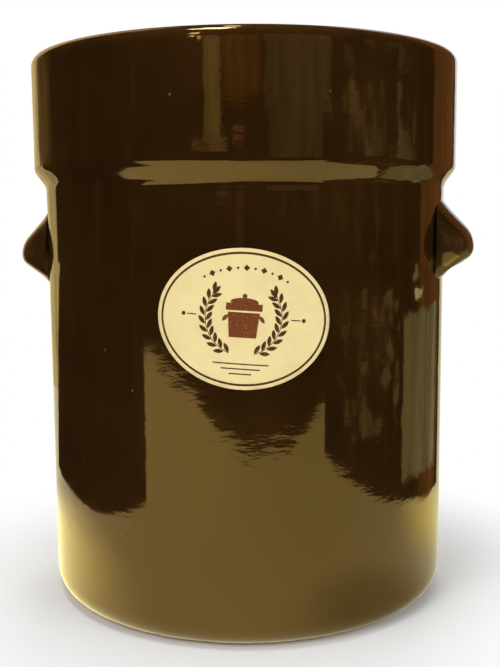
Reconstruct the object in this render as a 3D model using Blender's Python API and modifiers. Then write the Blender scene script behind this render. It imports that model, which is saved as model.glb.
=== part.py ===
"""Stoneware fermentation crock of about ten litres, with its lid and weights.

The crock stands on the ground plane, centred on the Z axis, with its label
towards -Y and its handles towards -X and +X. All sizes are in metres.

A crock of this kind is made from pieces of soft clay that are luted together
with slip and fired: the vessel with its neck, the collar ring that makes the
water channel round the neck, and two handles. The lid is a cap with a knob.
Its skirt stands in the water of the channel and seals the mouth. Two
half-round weights hold the food under the brine.
"""

import math

import bmesh
import bpy
from mathutils import Vector

# Vessel
BODY_RADIUS = 0.127
BODY_WALL = 0.011
BASE_THICKNESS = 0.013
SHOULDER_HEIGHT = 0.2533
SHOULDER_THICKNESS = 0.010
SHOULDER_SLOPE = 0.008
HEEL_FILLET = 0.015
INSIDE_FILLET = 0.014
FOOT_WIDTH = 0.014
FOOT_RECESS = 0.0025
FOOT_CHAMFER = 0.0015

# Neck and water channel
COLLAR_OVERHANG = 0.007
COLLAR_HEIGHT = 0.0699
COLLAR_WALL = 0.011
STEP_FOOT = 0.005
STEP_HEIGHT = 0.0095
STEP_FILLET = 0.007
RIM_OUTER_FILLET = 0.0065
RIM_INNER_FILLET = 0.0035
CHANNEL_WIDTH = 0.0195
CHANNEL_FLOOR = 0.015
CHANNEL_FILLET = 0.004
NECK_WALL = 0.009
NECK_RISE = 0.036
NECK_FILLET = 0.004

# Handles
HANDLE_WIDTH = 0.085
HANDLE_REACH = 0.0188
HANDLE_TIP_BELOW_SHOULDER = 0.0352
HANDLE_ROOT_RISE = 0.031
HANDLE_ROOT_DROP = 0.020
HANDLE_BROW_RADIUS = 0.019
HANDLE_NOSE_RADIUS = 0.009
HANDLE_ROOT_RADIUS = 0.0015
HANDLE_SQUARENESS = 2.9
HANDLE_STAGGER = 0.002
SCOOP_OUT = 0.0055
SCOOP_BELOW_TIP = 0.0163
SCOOP_REACH = 0.0075
SCOOP_RISE = 0.012
SCOOP_WIDTH = 0.058

# Paper label
LABEL_WIDTH = 0.0945
LABEL_HEIGHT = 0.0758
LABEL_THICKNESS = 0.0004
LABEL_BELOW_SHOULDER = 0.0296
LABEL_TILT = math.radians(4.3)
LABEL_TURN = math.radians(8.3)

# Lid
LID_CLEARANCE = 0.008
LID_SKIRT = 0.0065
LID_THICKNESS = 0.008
LID_CROWN = 0.006
LID_EDGE = 0.006
LID_SKIRT_EDGE = 0.002
LID_INSIDE_FILLET = 0.004
VENT_WIDTH = 0.014
VENT_HEIGHT = 0.011
KNOB_RADIUS = 0.022
KNOB_HEIGHT = 0.024
KNOB_CAP = 0.011
KNOB_CROWN = 0.003
KNOB_EDGE = 0.004
KNOB_NECK_FILLET = 0.003
KNOB_STEM_RADIUS = 0.013
KNOB_FOOT_RADIUS = 0.018
KNOB_FOOT_HEIGHT = 0.0035
KNOB_LAND_MARGIN = 0.003

# Weights
WEIGHT_CLEARANCE = 0.007
WEIGHT_THICKNESS = 0.020
WEIGHT_SPLIT = 0.003
WEIGHT_EDGE = 0.003
WEIGHT_CORNER = 0.008
WEIGHT_HOLE_RADIUS = 0.012
WEIGHT_BRIDGE = 0.026

# Fit between fired pieces, and the fineness of the round shapes
SEAT_GAP = 0.0003
TURN_STEPS = 60
KNOB_STEPS = 36
DOME_STEPS = 5
ARC_STEP = math.radians(22.5)

# Heights and radii that follow from the sizes above
BODY_INSIDE = BODY_RADIUS - BODY_WALL
COLLAR_RADIUS = BODY_RADIUS + COLLAR_OVERHANG
STEP_BOTTOM = SHOULDER_HEIGHT + SEAT_GAP + STEP_FOOT
RIM_HEIGHT = STEP_BOTTOM + STEP_HEIGHT + COLLAR_HEIGHT
CHANNEL_OUTER = COLLAR_RADIUS - COLLAR_WALL
NECK_RADIUS = CHANNEL_OUTER - CHANNEL_WIDTH
MOUTH_RADIUS = NECK_RADIUS - NECK_WALL
CHANNEL_BOTTOM = SHOULDER_HEIGHT + SEAT_GAP + CHANNEL_FLOOR
NECK_TOP = CHANNEL_BOTTOM + NECK_RISE
LID_MIDDLE = (NECK_RADIUS + CHANNEL_OUTER) / 2
LID_OUTER = LID_MIDDLE + LID_SKIRT / 2
LID_INNER = LID_MIDDLE - LID_SKIRT / 2
LID_BOTTOM = CHANNEL_BOTTOM + SEAT_GAP
LID_UNDERSIDE = NECK_TOP + LID_CLEARANCE
LID_SHOULDER = LID_UNDERSIDE + LID_THICKNESS
LID_LAND = LID_SHOULDER + LID_CROWN
LID_LAND_RADIUS = KNOB_FOOT_RADIUS + KNOB_LAND_MARGIN
KNOB_BOTTOM = LID_LAND + SEAT_GAP
KNOB_TOP = KNOB_BOTTOM + KNOB_HEIGHT
WEIGHT_RADIUS = MOUTH_RADIUS - WEIGHT_CLEARANCE
WEIGHT_BOTTOM = BASE_THICKNESS + SEAT_GAP
WEIGHT_HOLE_OUT = WEIGHT_SPLIT / 2 + WEIGHT_BRIDGE + WEIGHT_HOLE_RADIUS
LABEL_MIDDLE = SHOULDER_HEIGHT - LABEL_BELOW_SHOULDER - LABEL_HEIGHT / 2


def clear_scene():
    """Removes the scene's objects."""
    for thing in list(bpy.data.objects):
        bpy.data.objects.remove(thing)


def new_collection(name):
    """A collection in the scene."""
    collection = bpy.data.collections.new(name)
    bpy.context.scene.collection.children.link(collection)
    return collection


def new_material(name, colour, roughness, metallic=0.0):
    """A plain Principled material."""
    material = bpy.data.materials.new(name)
    material.use_nodes = True
    shader = material.node_tree.nodes["Principled BSDF"]
    shader.inputs["Base Color"].default_value = (*colour, 1)
    shader.inputs["Roughness"].default_value = roughness
    shader.inputs["Metallic"].default_value = metallic
    material.diffuse_color = (*colour, 1)
    return material


def add_object(name, data, collection, material=None):
    """An object in a collection, with its material."""
    made = bpy.data.objects.new(name, data)
    collection.objects.link(made)
    if material:
        data.materials.append(material)
    return made


def as_cutter(thing):
    """Marks a helper that shapes other pieces and isn't one itself."""
    thing.hide_render = True
    thing.display_type = "WIRE"
    return thing


def boolean(target, other, operation):
    """Cuts a piece by another mesh, or keeps only what they share."""
    modifier = target.modifiers.new(other.name, "BOOLEAN")
    modifier.operation = operation
    modifier.object = other


def filleted(corners, closed=False):
    """Points of an outline given as (radius, height, fillet) corners.

    Each fillet becomes an arc. Fillets that would meet on a short edge
    shrink together to fit it.
    """
    spots = [Vector(corner[:2]) for corner in corners]
    count = len(corners)
    reaches = []
    for i, (_, _, fillet) in enumerate(corners):
        to_last = spots[i - 1] - spots[i]
        to_next = spots[(i + 1) % count] - spots[i]
        half = to_last.angle(to_next) / 2
        at_end = not closed and i in (0, count - 1)
        reaches.append(0 if at_end else fillet / math.tan(half))
    shares = []
    for i in range(count):
        length = (spots[(i + 1) % count] - spots[i]).length
        wanted = reaches[i] + reaches[(i + 1) % count]
        shares.append(min(1, 0.98 * length / wanted) if wanted else 1)
    points = []
    for i, spot in enumerate(spots):
        reach = reaches[i] * min(shares[i - 1], shares[i])
        if reach == 0:
            points.append(spot)
            continue
        to_last = (spots[i - 1] - spot).normalized()
        to_next = (spots[(i + 1) % count] - spot).normalized()
        half = to_last.angle(to_next) / 2
        centre = spot + (to_last + to_next).normalized() * reach / math.cos(half)
        start = spot + to_last * reach - centre
        turn = math.pi - 2 * half
        if to_last.cross(to_next) > 0:
            turn = -turn
        steps = max(1, round(abs(turn) / ARC_STEP))
        for step in range(steps + 1):
            angle = turn * step / steps
            across = Vector((-start.y, start.x))
            points.append(centre + start * math.cos(angle) + across * math.sin(angle))
    return points


def turned(
    name, corners, collection, material=None, closed=False, steps=TURN_STEPS
):
    """A body of revolution about Z, from an outline at +X.

    The outline runs down its outer side. An open outline starts and ends on
    the axis, and a closed one makes a ring.
    """
    points = filleted(corners, closed)
    edges = [(i, i + 1) for i in range(len(points) - 1)]
    if closed:
        edges.append((len(points) - 1, 0))
    mesh = bpy.data.meshes.new(name)
    mesh.from_pydata([(p.x, 0, p.y) for p in points], edges, [])
    made = add_object(name, mesh, collection, material)
    screw = made.modifiers.new("Turn", "SCREW")
    screw.steps = steps
    screw.render_steps = steps
    screw.use_merge_vertices = True
    screw.merge_threshold = 0.00001
    screw.use_smooth_shade = True
    return made


def make_vessel(pieces, clay):
    """Pot with its base, wall, shoulder and neck."""
    foot_outer = BODY_RADIUS - HEEL_FILLET
    foot_inner = foot_outer - FOOT_WIDTH
    mouth_bottom = SHOULDER_HEIGHT - SHOULDER_THICKNESS
    corners = [
        (0, BASE_THICKNESS, 0),
        (BODY_INSIDE, BASE_THICKNESS, INSIDE_FILLET),
        (BODY_INSIDE, mouth_bottom - SHOULDER_SLOPE, INSIDE_FILLET),
        (MOUTH_RADIUS, mouth_bottom, NECK_FILLET),
        (MOUTH_RADIUS, NECK_TOP, NECK_FILLET),
        (NECK_RADIUS, NECK_TOP, NECK_FILLET),
        (NECK_RADIUS, SHOULDER_HEIGHT, 0),
        (BODY_RADIUS, SHOULDER_HEIGHT, 0),
        (BODY_RADIUS, 0, HEEL_FILLET),
        (foot_inner, 0, 0),
        (foot_inner - FOOT_CHAMFER, FOOT_RECESS, 0),
        (0, FOOT_RECESS, 0),
    ]
    return turned("crock_body", corners, pieces, clay)


def make_collar(pieces, clay):
    """Ring with the channel's floor and outer wall, seated on the shoulder."""
    flange_bottom = SHOULDER_HEIGHT + SEAT_GAP
    flange_inner = NECK_RADIUS + SEAT_GAP
    corners = [
        (CHANNEL_OUTER, RIM_HEIGHT, RIM_INNER_FILLET),
        (COLLAR_RADIUS, RIM_HEIGHT, RIM_OUTER_FILLET),
        (COLLAR_RADIUS, STEP_BOTTOM + STEP_HEIGHT, STEP_FILLET),
        (BODY_RADIUS, STEP_BOTTOM, STEP_FILLET),
        (BODY_RADIUS, flange_bottom, 0),
        (flange_inner, flange_bottom, 0),
        (flange_inner, CHANNEL_BOTTOM, 0),
        (CHANNEL_OUTER, CHANNEL_BOTTOM, CHANNEL_FILLET),
    ]
    return turned("water_channel_collar", corners, pieces, clay, closed=True)


def wall_cylinder(name, radius, cutters):
    """Upright cylinder with the wall's own facets, for cutting seats on it."""
    corners = [
        (0, RIM_HEIGHT, 0),
        (radius, RIM_HEIGHT, 0),
        (radius, 0, 0),
        (0, 0, 0),
    ]
    return as_cutter(turned(name, corners, cutters))


def make_handle(name, side, pieces, cutters, clay, wall):
    """Lug with a finger scoop underneath. side is -1 at -X and 1 at +X.

    Each upright section has a round tip, flatter above (the brow) than below
    (the nose), and sloping sides down to its root inside the wall. The
    sections shrink towards both ends of the lug. The two lugs were luted on
    by eye, so one sits a little higher.
    """
    root = BODY_RADIUS - BODY_WALL / 2
    tip = BODY_RADIUS + HANDLE_REACH
    tip_height = SHOULDER_HEIGHT - HANDLE_TIP_BELOW_SHOULDER + side * HANDLE_STAGGER
    brow = Vector((tip - HANDLE_BROW_RADIUS, tip_height))
    nose = Vector((tip - HANDLE_NOSE_RADIUS, tip_height))
    above = [(Vector((root, tip_height + HANDLE_ROOT_RISE)), HANDLE_ROOT_RADIUS)]
    below = [(Vector((root, tip_height - HANDLE_ROOT_DROP)), HANDLE_ROOT_RADIUS)]
    above_tip = above + [(brow, HANDLE_BROW_RADIUS)]
    below_tip = below + [(nose, HANDLE_NOSE_RADIUS)]
    anchor = Vector((root, tip_height))

    shape = bmesh.new()
    bmesh.ops.create_uvsphere(shape, u_segments=32, v_segments=16, radius=1)
    for vert in shape.verts:
        along = max(-1, min(1, vert.co.z))
        facing = Vector((vert.co.x, vert.co.y))
        if facing.length > 0.001:
            facing.normalize()
        if facing.x > 0:
            corners = above_tip if facing.y >= 0 else below_tip
        else:
            corners = above if facing.y >= 0 else below
        corner, fillet = max(corners, key=lambda c: c[0].dot(facing) + c[1])
        spot = corner + facing * fillet
        full = (1 - abs(along) ** HANDLE_SQUARENESS) ** (1 / HANDLE_SQUARENESS)
        spot = anchor + (spot - anchor) * full
        vert.co = (side * spot.x, along * HANDLE_WIDTH / 2, spot.y)
    bmesh.ops.remove_doubles(shape, verts=shape.verts, dist=0.00001)
    bmesh.ops.recalc_face_normals(shape, faces=shape.faces)
    mesh = bpy.data.meshes.new(name)
    shape.to_mesh(mesh)
    shape.free()
    mesh.shade_smooth()
    handle = add_object(name, mesh, pieces, clay)

    scoop_shape = bmesh.new()
    bmesh.ops.create_uvsphere(scoop_shape, u_segments=24, v_segments=12, radius=1)
    scoop_mesh = bpy.data.meshes.new(name + "_scoop")
    scoop_shape.to_mesh(scoop_mesh)
    scoop_shape.free()
    scoop = as_cutter(add_object(name + "_scoop", scoop_mesh, cutters))
    scoop_height = tip_height - SCOOP_BELOW_TIP
    scoop.location = (side * (BODY_RADIUS + SCOOP_OUT), 0, scoop_height)
    scoop.scale = (SCOOP_REACH, SCOOP_WIDTH / 2, SCOOP_RISE)

    boolean(handle, wall, "DIFFERENCE")
    boolean(handle, scoop, "DIFFERENCE")
    return handle


def make_label(pieces, cutters, paper):
    """Oval paper label, a thin piece of a tube that lies on the wall."""
    inner = BODY_RADIUS + SEAT_GAP
    outer = inner + LABEL_THICKNESS
    top = LABEL_MIDDLE + LABEL_HEIGHT
    bottom = LABEL_MIDDLE - LABEL_HEIGHT
    corners = [
        (inner, top, 0),
        (outer, top, 0),
        (outer, bottom, 0),
        (inner, bottom, 0),
    ]
    label = turned("label", corners, pieces, paper, closed=True)

    shape = bmesh.new()
    bmesh.ops.create_cone(
        shape, cap_ends=True, segments=64, radius1=1, radius2=1, depth=1
    )
    mesh = bpy.data.meshes.new("label_outline")
    shape.to_mesh(mesh)
    shape.free()
    outline = as_cutter(add_object("label_outline", mesh, cutters))
    half_width = outer * math.sin(LABEL_WIDTH / 2 / outer)
    outline.scale = (half_width, LABEL_HEIGHT / 2, BODY_RADIUS)
    outline.rotation_mode = "YXZ"
    outline.rotation_euler = (math.pi / 2, LABEL_TILT, 0)
    holder = bpy.data.objects.new("label_turn", None)
    cutters.objects.link(holder)
    holder.location = (0, 0, LABEL_MIDDLE)
    holder.rotation_euler = (0, 0, LABEL_TURN)
    outline.parent = holder
    outline.location = (0, -BODY_RADIUS, 0)
    boolean(label, outline, "INTERSECT")
    return label


def dome(middle, edge_radius, edge_height):
    """Corners of a shallow dome, from its flat land out to its edge."""
    corners = [(0, middle, 0)]
    for step in range(DOME_STEPS + 1):
        out = step / DOME_STEPS
        radius = LID_LAND_RADIUS + (edge_radius - LID_LAND_RADIUS) * out
        corners.append((radius, middle - (middle - edge_height) * out**2, 0))
    return corners


def make_lid(pieces, cutters, clay):
    """Cap whose skirt stands in the channel, with two vent notches."""
    above = dome(LID_LAND, LID_OUTER, LID_SHOULDER)
    below = dome(LID_LAND - LID_THICKNESS, LID_INNER, LID_UNDERSIDE)
    skirt = [
        (LID_OUTER, LID_SHOULDER, LID_EDGE),
        (LID_OUTER, LID_BOTTOM, LID_SKIRT_EDGE),
        (LID_INNER, LID_BOTTOM, LID_SKIRT_EDGE),
        (LID_INNER, LID_UNDERSIDE, LID_INSIDE_FILLET),
    ]
    corners = above[:-1] + skirt + below[-2::-1]
    lid = turned("lid", corners, pieces, clay)

    shape = bmesh.new()
    bmesh.ops.create_cone(
        shape, cap_ends=True, segments=32, radius1=1, radius2=1, depth=1
    )
    mesh = bpy.data.meshes.new("vent_notches")
    shape.to_mesh(mesh)
    shape.free()
    vents = as_cutter(add_object("vent_notches", mesh, cutters))
    vents.location = (0, 0, LID_BOTTOM)
    vents.rotation_euler = (0, math.pi / 2, 0)
    vents.scale = (VENT_HEIGHT, VENT_WIDTH / 2, 3 * LID_OUTER)
    boolean(lid, vents, "DIFFERENCE")
    return lid


def make_knob(pieces, clay):
    """Mushroom knob on the flat middle of the lid."""
    cap_bottom = KNOB_TOP - KNOB_CAP
    corners = [
        (0, KNOB_TOP, 0),
        (KNOB_RADIUS, KNOB_TOP - KNOB_CROWN, KNOB_EDGE),
        (KNOB_RADIUS, cap_bottom + KNOB_CROWN, KNOB_EDGE),
        (KNOB_STEM_RADIUS, cap_bottom, KNOB_NECK_FILLET),
        (KNOB_STEM_RADIUS, KNOB_BOTTOM + KNOB_FOOT_HEIGHT, KNOB_NECK_FILLET),
        (KNOB_FOOT_RADIUS, KNOB_BOTTOM, 0),
        (0, KNOB_BOTTOM, 0),
    ]
    return turned("lid_knob", corners, pieces, clay, steps=KNOB_STEPS)


def add_loop(curve, points):
    """Closed straight-edged spline through flat points."""
    spline = curve.splines.new("POLY")
    spline.points.add(len(points) - 1)
    for knot, (x, y) in zip(spline.points, points):
        knot.co = (x, y, 0, 1)
    spline.use_cyclic_u = True


def make_weight(name, side, pieces, clay):
    """Half-round weight with a finger hole. side is -1 at -X and 1 at +X."""
    flat = WEIGHT_SPLIT / 2
    reach = math.sqrt(WEIGHT_RADIUS**2 - flat**2)
    corner_angle = math.atan2(reach, flat)
    centre_out = WEIGHT_RADIUS - WEIGHT_CORNER
    corner_y = math.sqrt(centre_out**2 - (flat + WEIGHT_CORNER) ** 2)
    arc_angle = math.atan2(corner_y, flat + WEIGHT_CORNER)
    steps = TURN_STEPS // 2
    outline = []
    for step in range(steps + 1):
        angle = arc_angle * (2 * step / steps - 1)
        outline.append(
            (WEIGHT_RADIUS * math.cos(angle), WEIGHT_RADIUS * math.sin(angle))
        )
    for turn_from, turn_to, centre_y in (
        (arc_angle, math.pi, corner_y),
        (-math.pi, -arc_angle, -corner_y),
    ):
        rounds = max(2, round((math.pi - corner_angle) / ARC_STEP))
        for step in range(1, rounds):
            angle = turn_from + (turn_to - turn_from) * step / rounds
            outline.append(
                (
                    flat + WEIGHT_CORNER + WEIGHT_CORNER * math.cos(angle),
                    centre_y + WEIGHT_CORNER * math.sin(angle),
                )
            )
    hole = []
    for step in range(24):
        angle = -2 * math.pi * step / 24
        hole.append(
            (
                WEIGHT_HOLE_OUT + WEIGHT_HOLE_RADIUS * math.cos(angle),
                WEIGHT_HOLE_RADIUS * math.sin(angle),
            )
        )
    curve = bpy.data.curves.new(name, "CURVE")
    curve.dimensions = "2D"
    curve.fill_mode = "BOTH"
    curve.bevel_depth = WEIGHT_EDGE
    curve.bevel_resolution = 1
    curve.offset = -WEIGHT_EDGE
    curve.extrude = WEIGHT_THICKNESS / 2 - WEIGHT_EDGE
    add_loop(curve, outline)
    add_loop(curve, hole)
    weight = add_object(name, curve, pieces, clay)
    weight.location = (0, 0, WEIGHT_BOTTOM + WEIGHT_THICKNESS / 2)
    weight.rotation_euler = (0, 0, 0 if side > 0 else math.pi)
    return weight


def main():
    clear_scene()
    pieces = new_collection("fermentation_crock")
    cutters = new_collection("cutters")
    glaze = new_material("brown_glaze", (0.020, 0.010, 0.004), 0.08)
    paper = new_material("cream_paper", (0.80, 0.68, 0.40), 0.6)
    bisque = new_material("bare_stoneware", (0.42, 0.34, 0.25), 0.85)

    make_vessel(pieces, glaze)
    make_collar(pieces, glaze)
    wall = wall_cylinder("wall_seat", BODY_RADIUS + SEAT_GAP, cutters)
    make_handle("handle_left", -1, pieces, cutters, glaze, wall)
    make_handle("handle_right", 1, pieces, cutters, glaze, wall)
    make_label(pieces, cutters, paper)
    make_lid(pieces, cutters, glaze)
    make_knob(pieces, glaze)
    make_weight("weight_left", -1, pieces, bisque)
    make_weight("weight_right", 1, pieces, bisque)


main()
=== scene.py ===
import math

import bmesh
import bpy
from mathutils import Matrix, Vector, noise


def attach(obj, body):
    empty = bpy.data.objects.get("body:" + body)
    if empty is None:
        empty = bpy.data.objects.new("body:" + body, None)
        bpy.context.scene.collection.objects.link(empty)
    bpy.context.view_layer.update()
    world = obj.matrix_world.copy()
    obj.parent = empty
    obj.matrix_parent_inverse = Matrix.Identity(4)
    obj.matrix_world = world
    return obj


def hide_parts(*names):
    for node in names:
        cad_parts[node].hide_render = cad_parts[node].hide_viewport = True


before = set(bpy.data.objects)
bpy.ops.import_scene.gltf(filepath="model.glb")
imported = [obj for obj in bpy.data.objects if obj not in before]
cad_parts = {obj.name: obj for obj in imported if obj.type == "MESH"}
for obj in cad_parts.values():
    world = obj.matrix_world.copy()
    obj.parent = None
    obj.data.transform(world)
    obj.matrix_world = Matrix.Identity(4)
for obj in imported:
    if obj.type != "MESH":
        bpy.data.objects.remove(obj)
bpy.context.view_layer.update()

# Sizes that the finished pieces share with the solids, in metres
SEAT_GAP = 0.0003
BODY_RADIUS = 0.127
BODY_WALL = 0.011
BODY_INSIDE = BODY_RADIUS - BODY_WALL
BASE_THICKNESS = 0.013
SHOULDER_HEIGHT = 0.2533
SHOULDER_THICKNESS = 0.010
SHOULDER_SLOPE = 0.008
INSIDE_FILLET = 0.014
HEEL_FILLET = 0.015
FOOT_INNER = 0.098
FOOT_CHAMFER = 0.0015
FOOT_RECESS = 0.0025
FOOT_FILLET = 0.0006
FLANGE_BOTTOM = SHOULDER_HEIGHT + SEAT_GAP

COLLAR_RADIUS = 0.134
COLLAR_HEIGHT = 0.0699
STEP_FOOT = 0.005
STEP_HEIGHT = 0.0095
STEP_FILLET = 0.007
STEP_BOTTOM = FLANGE_BOTTOM + STEP_FOOT
STEP_TOP = STEP_BOTTOM + STEP_HEIGHT
RIM_HEIGHT = STEP_TOP + COLLAR_HEIGHT
RIM_OUTER_FILLET = 0.0065
RIM_INNER_FILLET = 0.0035
CHANNEL_OUTER = 0.123
CHANNEL_FLOOR = 0.015
CHANNEL_BOTTOM = FLANGE_BOTTOM + CHANNEL_FLOOR
CHANNEL_FILLET = 0.004
NECK_RADIUS = 0.1035
NECK_RISE = 0.036
NECK_TOP = CHANNEL_BOTTOM + NECK_RISE
NECK_FILLET = 0.004
MOUTH_RADIUS = 0.0945

LID_OUTER = 0.1165
LID_INNER = 0.110
LID_CLEARANCE = 0.008
LID_THICKNESS = 0.008
LID_CROWN = 0.006
LID_EDGE = 0.006
LID_SKIRT_EDGE = 0.002
LID_INSIDE_FILLET = 0.004
LID_BOTTOM = CHANNEL_BOTTOM + SEAT_GAP
LID_UNDERSIDE = NECK_TOP + LID_CLEARANCE
LID_SHOULDER = LID_UNDERSIDE + LID_THICKNESS
LID_LAND = LID_SHOULDER + LID_CROWN
LID_LAND_RADIUS = 0.021
VENT_WIDTH = 0.014
VENT_HEIGHT = 0.011
VENT_FADE = 0.006
KNOB_HEIGHT = 0.024
KNOB_RADIUS = 0.022
KNOB_CAP = 0.011
KNOB_CAP_EDGE = 0.008
KNOB_CROWN = 0.003
KNOB_EDGE = 0.004
KNOB_NECK_FILLET = 0.003
KNOB_STEM_RADIUS = 0.013
KNOB_FOOT_RADIUS = 0.018
KNOB_FOOT_HEIGHT = 0.0035
KNOB_BOTTOM = LID_LAND + SEAT_GAP
KNOB_TOP = KNOB_BOTTOM + KNOB_HEIGHT

HANDLE_WIDTH = 0.085
HANDLE_REACH = 0.0188
HANDLE_TIP_BELOW_SHOULDER = 0.0352
HANDLE_TIP_HEIGHT = SHOULDER_HEIGHT - HANDLE_TIP_BELOW_SHOULDER
HANDLE_STAGGER = 0.002
HANDLE_ROOT = BODY_RADIUS - BODY_WALL / 2
HANDLE_ROOT_RISE = 0.031
HANDLE_ROOT_DROP = 0.020
HANDLE_ROOT_RADIUS = 0.0015
HANDLE_BROW_RADIUS = 0.019
HANDLE_NOSE_RADIUS = 0.009
HANDLE_SQUARENESS = 2.9
SCOOP_OUT = 0.0055
SCOOP_BELOW_TIP = 0.0163
SCOOP_REACH = 0.0075
SCOOP_RISE = 0.012
SCOOP_WIDTH = 0.058
SCOOP_START = -0.004
LUTING_REACH = 0.0065
LUTING_WIDTH = 0.0026
LUTING_RISE = 0.0010

LABEL_WIDTH = 0.0945
LABEL_HEIGHT = 0.0758
LABEL_BELOW_SHOULDER = 0.0296
LABEL_MIDDLE = SHOULDER_HEIGHT - LABEL_BELOW_SHOULDER - LABEL_HEIGHT / 2
LABEL_TILT = math.radians(4.3)
LABEL_TURN = math.radians(8.3)
LABEL_SEAT = BODY_RADIUS + SEAT_GAP
LABEL_THICKNESS = 0.0003
INK_LIFT = 0.00003

WEIGHT_RADIUS = 0.0875
WEIGHT_FLAT = 0.0015
WEIGHT_BOTTOM = BASE_THICKNESS + SEAT_GAP
WEIGHT_THICKNESS = 0.020
WEIGHT_CORNER = 0.008
WEIGHT_EDGE = 0.003
WEIGHT_HOLE_RADIUS = 0.012
WEIGHT_HOLE_OUT = 0.0395

# How finely the surfaces are cut, and how uneven a potter's hands leave them
TURN_STEPS = 288
KNOB_STEPS = 128
FILLET_STEPS = 7
DOME_STEPS = 12
SECTION_STEPS = 72
SECTION_PART = 0.0012
HANDLE_ROWS = 96
OVAL_STEPS = 180
PAPER_STRIP = 0.0025
PRINT_STRIP = 0.003
WEIGHT_STEPS = 160
WEIGHT_HOLE_STEPS = 48
WEIGHT_RIM_ANGLE = 1.2
TOUCHING = 0.00001
SHARP_ANGLE = math.radians(50)
SLIVER = 0.00002
WALL_UNEVENNESS = 0.00018
LID_UNEVENNESS = 0.00015
KNOB_UNEVENNESS = 0.00012
HANDLE_UNEVENNESS = 0.0003

# The crock stands turned a little to the camera, so the studio turns with it
VIEW_TURN = math.radians(9.3)


# Materials

def add_node(tree, kind, inputs=None, **settings):
    """A shader node. An input is a value, or a socket that feeds it."""
    node = tree.nodes.new(kind)
    for name, value in settings.items():
        setattr(node, name, value)
    for name, value in (inputs or {}).items():
        if isinstance(value, bpy.types.NodeSocket):
            tree.links.new(value, node.inputs[name])
        else:
            node.inputs[name].default_value = value
    return node


def new_material(name):
    """A material with its node tree and its Principled shader."""
    material = bpy.data.materials.new(name)
    material.use_nodes = True
    tree = material.node_tree
    return material, tree, tree.nodes["Principled BSDF"]


def new_stage_material(name):
    """A material for the studio, with an empty node tree."""
    material, tree, _ = new_material(name)
    tree.nodes.clear()
    return material, tree


def object_spot(tree, scale=(1, 1, 1)):
    """The piece's own coordinates, stretched."""
    coordinates = add_node(tree, "ShaderNodeTexCoord").outputs["Object"]
    mapping = add_node(
        tree, "ShaderNodeMapping", {"Vector": coordinates, "Scale": scale}
    )
    return mapping.outputs["Vector"]


def cloud(tree, spot, scale, detail, roughness=0.5):
    """Noise from 0 to 1."""
    inputs = {"Vector": spot, "Scale": scale, "Detail": detail, "Roughness": roughness}
    return add_node(tree, "ShaderNodeTexNoise", inputs).outputs["Fac"]


def spread(tree, value, low, high, bottom=0.0, top=1.0):
    """A value between low and high, stretched smoothly from bottom to top."""
    inputs = {
        "Value": value,
        "From Min": low,
        "From Max": high,
        "To Min": bottom,
        "To Max": top,
    }
    node = add_node(
        tree, "ShaderNodeMapRange", inputs, interpolation_type="SMOOTHSTEP"
    )
    return node.outputs["Result"]


def combine(tree, operation, first, second):
    """Two values through a Math node."""
    node = add_node(tree, "ShaderNodeMath", {0: first, 1: second}, operation=operation)
    return node.outputs["Value"]


def times(tree, first, second):
    return combine(tree, "MULTIPLY", first, second)


def plus(tree, first, second):
    return combine(tree, "ADD", first, second)


def blend_colours(tree, factor, first, second):
    """Two colours mixed by a factor."""
    node = add_node(tree, "ShaderNodeMix", data_type="RGBA")
    for socket, value in zip((0, 6, 7), (factor, first, second)):
        if isinstance(value, bpy.types.NodeSocket):
            tree.links.new(value, node.inputs[socket])
        else:
            full = value if socket == 0 else (*value, 1)
            node.inputs[socket].default_value = full
    return node.outputs[2]


def mix_shaders(tree, factor, first, second):
    """Two shader nodes mixed by a factor."""
    inputs = {0: factor, 1: first.outputs[0], 2: second.outputs[0]}
    return add_node(tree, "ShaderNodeMixShader", inputs)


def attribute(tree, name):
    """A number that the mesh carries."""
    return add_node(
        tree, "ShaderNodeAttribute", attribute_name=name
    ).outputs["Fac"]


def specks(tree, spot, scale, share, size):
    """Scattered round specks: a share of the cells holds one."""
    cells = add_node(
        tree, "ShaderNodeTexVoronoi", {"Vector": spot, "Scale": scale}
    )
    chosen = add_node(tree, "ShaderNodeSeparateColor", {0: cells.outputs["Color"]})
    picked = combine(tree, "LESS_THAN", chosen.outputs[0], share)
    near = spread(tree, cells.outputs["Distance"], size, size * 0.55)
    return times(tree, picked, near)


def add_relief(tree, shader, height):
    """Bumps on the surface. A height of 1 is a millimetre."""
    bump = add_node(
        tree, "ShaderNodeBump", {"Height": height, "Strength": 1.0, "Distance": 0.001}
    )
    tree.links.new(bump.outputs["Normal"], shader.inputs["Normal"])


def make_clay():
    """Bare fired stoneware: buff, sandy and speckled with iron."""
    material, tree, shader = new_material("bare_stoneware")
    spot = object_spot(tree)
    patches = spread(tree, cloud(tree, spot, 22, 3), 0.3, 0.7)
    colour = blend_colours(tree, patches, (0.38, 0.255, 0.140), (0.50, 0.365, 0.220))
    grains = spread(tree, cloud(tree, spot, 900, 2), 0.45, 0.7)
    colour = blend_colours(tree, grains, colour, (0.31, 0.195, 0.10))
    iron = specks(tree, spot, 420, 0.10, 0.30)
    colour = blend_colours(tree, iron, colour, (0.07, 0.035, 0.018))
    tree.links.new(colour, shader.inputs["Base Color"])
    shader.inputs["Roughness"].default_value = 0.86
    sand = cloud(tree, spot, 700, 3, 0.65)
    dents = spread(tree, cloud(tree, spot, 120, 2), 0.25, 0.75)
    height = plus(tree, times(tree, sand, 0.16), times(tree, dents, 0.12))
    add_relief(tree, shader, height)
    return material


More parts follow.
